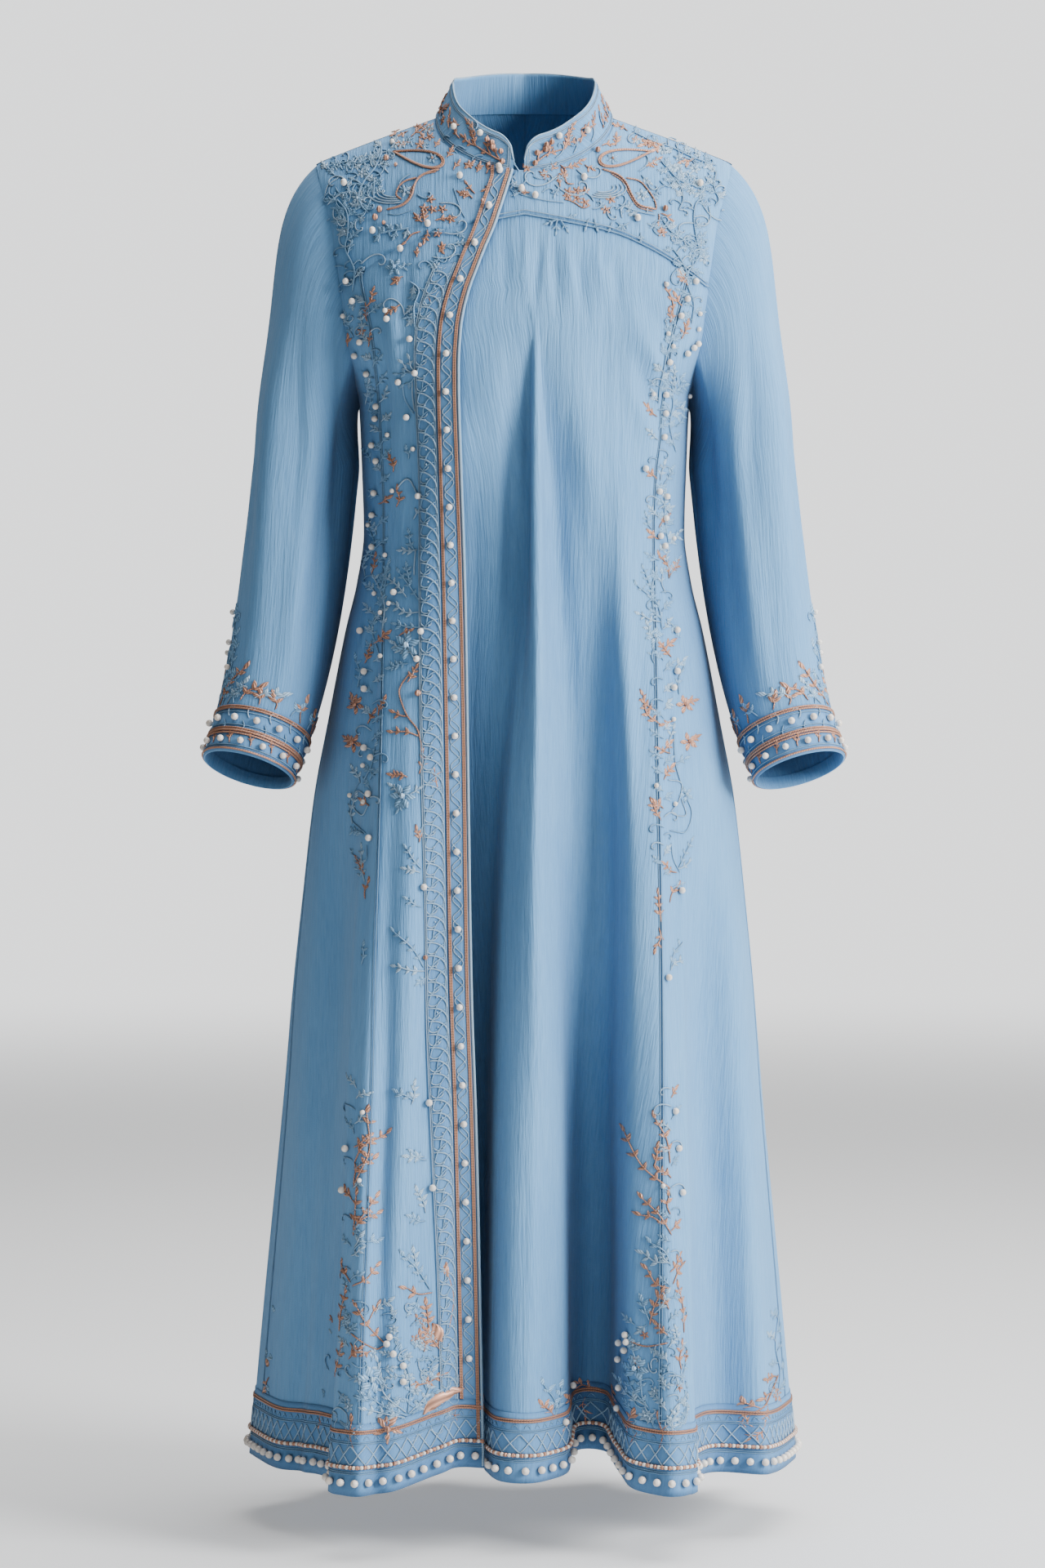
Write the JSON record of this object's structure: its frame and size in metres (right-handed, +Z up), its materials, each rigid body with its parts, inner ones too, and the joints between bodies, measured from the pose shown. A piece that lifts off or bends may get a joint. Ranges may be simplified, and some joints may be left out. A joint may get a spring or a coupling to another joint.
{
  "type": "indo-western dress",
  "caption": "Long flared dress with stand collar, wrapped-over front with a curved beaded edge, box pleat, princess seams, set-in sleeves and beaded hem and cuffs.",
  "frame": {"origin": "midway between the two points where the shoulder seams meet the collar", "axes": "+Z up, -Y out of the dress's front, +X towards the wearer's left"},
  "size_m": [0.5954, 0.4027, 1.3088],
  "materials": {
    "crepe": "matte",
    "band": "matte",
    "copper_thread": "satin",
    "pearl": "gloss",
    "blue_thread": "satin"
  },
  "bodies": {
    "root": {"front_overlap": "crepe", "front_under": "crepe", "side_front_right": "crepe", "side_front_left": "crepe", "yoke_right": "crepe", "yoke_left": "crepe", "back_right": "crepe", "back_left": "crepe", "sleeve_right": "crepe", "sleeve_left": "crepe", "collar": "crepe", "placket_band": "band", "trellis_border": "band", "hem_band": "band", "cuff_band_right": "band", "cuff_band_left": "band"}
  },
  "joints": []
}
